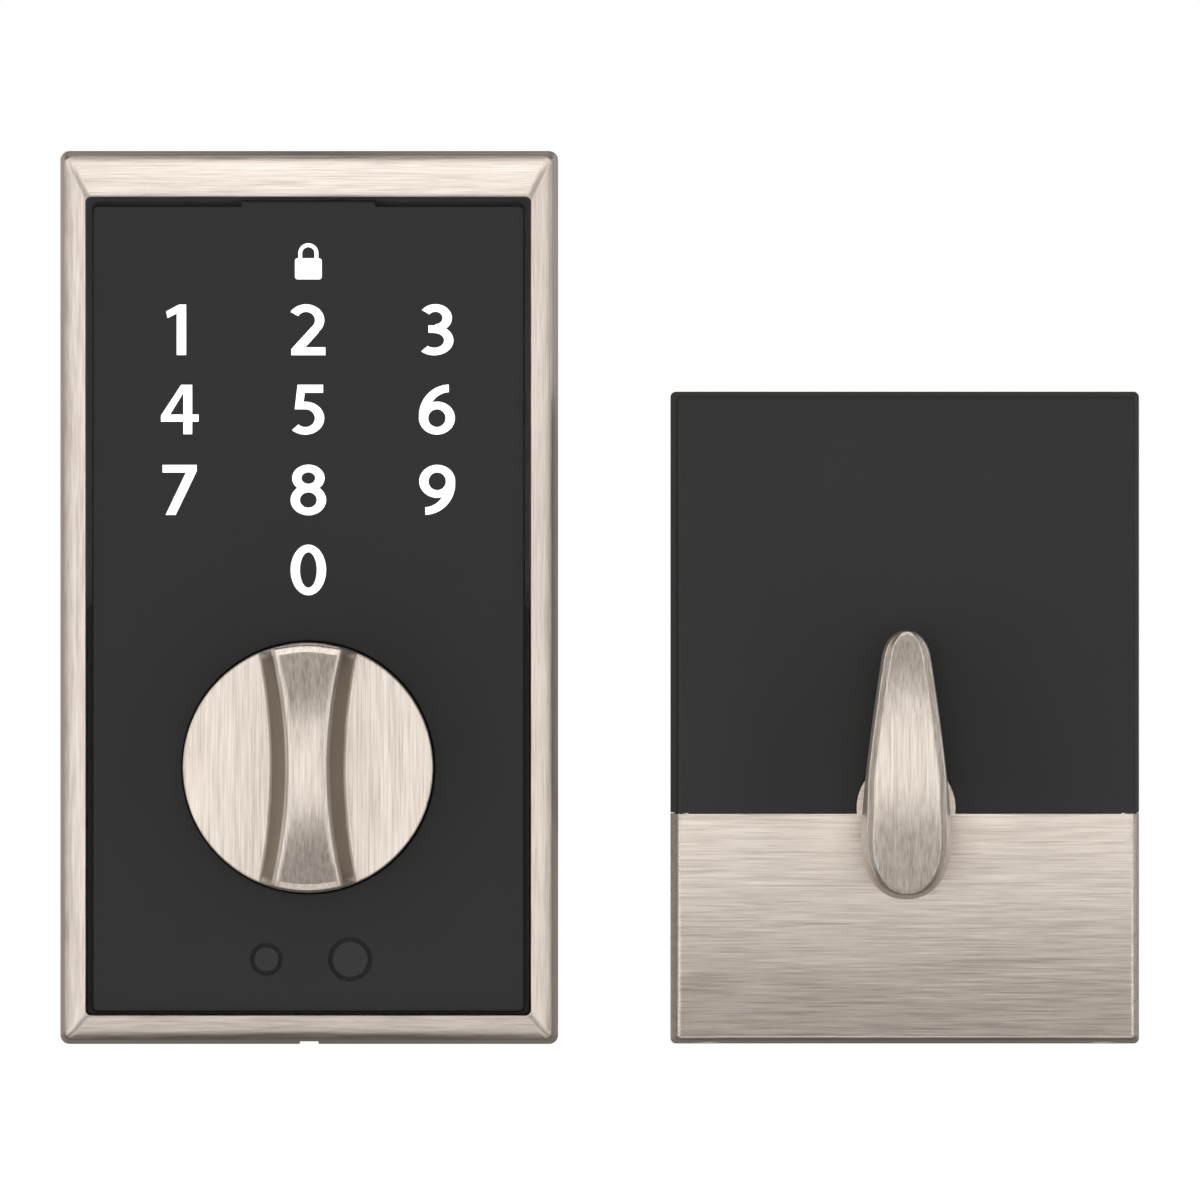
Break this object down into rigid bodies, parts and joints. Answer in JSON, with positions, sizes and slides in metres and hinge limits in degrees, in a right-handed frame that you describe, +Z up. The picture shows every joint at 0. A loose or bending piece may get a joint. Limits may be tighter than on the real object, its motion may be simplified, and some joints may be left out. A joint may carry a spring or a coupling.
{
  "type": "keypad smart lock",
  "caption": "Touch keypad deadbolt: framed black key panel with free-spinning knob, and an inside unit with battery cover and thumbturn.",
  "frame": {"origin": "where the outside knob's axis meets the door face, which is the shoulder of the door boss", "axes": "+Y into the door, so both fronts face -Y; +Z up; +X to the right as seen from the front, towards the inside unit"},
  "size_m": [0.1534, 0.1, 0.127],
  "materials": {
    "satin_nickel": "brushed satin nickel plate, fine straight grain",
    "black_panel": "smooth satin black touch panel",
    "cover_black": "smooth satin black moulding",
    "moulded_black": "black moulding, light texture",
    "contact_black": "black plated contact",
    "numeral_white": "white light-spreading plastic",
    "clear_guide": "frosted clear plastic",
    "circuit_board": "green solder mask",
    "chip_black": "moulded chip bodies",
    "spring_steel": "bright spring steel",
    "zinc_plated_steel": "zinc plated steel",
    "zinc_casting": "raw die casting",
    "bronze": "sintered bronze",
    "rubber": "soft black rubber",
    "foam": "closed-cell foam",
    "battery_skin": "plain painted battery case"
  },
  "bodies": {
    "lock_frame": {"outside_escutcheon": "satin_nickel", "touch_panel": "black_panel", "key_numerals": "numeral_white", "lock_symbol": "numeral_white", "panel_chassis": "moulded_black", "light_guide": "clear_guide", "keypad_circuit_board": "circuit_board", "keypad_leds": "numeral_white", "keypad_chips": "chip_black", "buzzer": "chip_black", "jump_contact_small": "contact_black", "jump_contact_large": "contact_black", "contact_tags": "spring_steel", "knob_bushing": "bronze", "clutch_motor": "spring_steel", "motor_bracket": "moulded_black", "rear_housing": "zinc_casting", "mounting_posts": "zinc_plated_steel", "housing_screws": "zinc_plated_steel", "cable_grommet": "rubber", "door_gasket": "foam", "lower_cover": "satin_nickel", "thumbturn_bushing": "bronze", "position_switch": "chip_black", "inside_chassis": "moulded_black", "support_plate": "zinc_plated_steel", "through_bolts": "zinc_plated_steel", "chassis_screws": "zinc_plated_steel", "cover_screws": "zinc_plated_steel", "battery_case": "battery_skin", "battery_terminals": "zinc_plated_steel", "battery_connector": "moulded_black", "inside_circuit_board": "circuit_board", "inside_board_parts": "chip_black", "cable_socket": "numeral_white"},
    "knob": {"turn_knob": "satin_nickel", "knob_shaft": "spring_steel", "knob_spring_washer": "spring_steel", "knob_retaining_ring": "spring_steel", "drive_wheel": "zinc_casting"},
    "clutch_screw": {"clutch_screw": "bronze"},
    "clutch_plate": {"clutch_plate": "zinc_casting"},
    "dog_pin": {"dog_pin": "spring_steel"},
    "tailpiece": {"tailpiece_hub": "zinc_casting", "tailpiece": "zinc_plated_steel", "tailpiece_pin": "spring_steel", "dog_pin_spring": "spring_steel"},
    "thumbturn": {"thumbturn_lever": "satin_nickel", "thumbturn_hub": "zinc_plated_steel", "thumbturn_screw": "zinc_plated_steel", "thumbturn_washer": "spring_steel", "thumbturn_clip": "spring_steel", "position_cam": "moulded_black"},
    "battery_cover": {"battery_cover": "cover_black"}
  },
  "joints": [
    {"name": "knob_turn", "type": "hinge", "parent": "lock_frame", "child": "knob", "pos_m": [0, 0, 0], "axis": [0, 1, 0], "continuous": true},
    {"name": "thumbturn_turn", "type": "hinge", "parent": "lock_frame", "child": "thumbturn", "pos_m": [0.0847, 0, -0.00575], "axis": [0, 1, 0], "range_deg": [0, 90]},
    {"name": "tailpiece_turn", "type": "hinge", "parent": "lock_frame", "child": "tailpiece", "pos_m": [0, 0, 0], "axis": [0, 1, 0], "range_deg": [-90, 0]},
    {"name": "clutch_screw_turn", "type": "hinge", "parent": "lock_frame", "child": "clutch_screw", "pos_m": [0, 0, -0.0173], "axis": [0, 1, 0], "range_deg": [0, 720]},
    {"name": "clutch_plate_slide", "type": "slide", "parent": "lock_frame", "child": "clutch_plate", "axis": [0, -1, 0], "range_m": [0, 0.002]},
    {"name": "dog_pin_slide", "type": "slide", "parent": "tailpiece", "child": "dog_pin", "axis": [0, -1, 0], "range_m": [0, 0.002], "deforming": ["dog_pin_spring"]},
    {"name": "battery_cover_slide", "type": "slide", "parent": "lock_frame", "child": "battery_cover", "axis": [0, 0, 1], "range_m": [0, 0.06]}
  ],
  "couplings": [
    {"joint": "tailpiece_turn", "follows": "thumbturn_turn", "ratio": -1},
    {"joint": "clutch_screw_turn", "follows": "clutch_plate_slide", "rad_per_m": 6283.2},
    {"joint": "dog_pin_slide", "follows": "clutch_plate_slide", "ratio": 1}
  ]
}
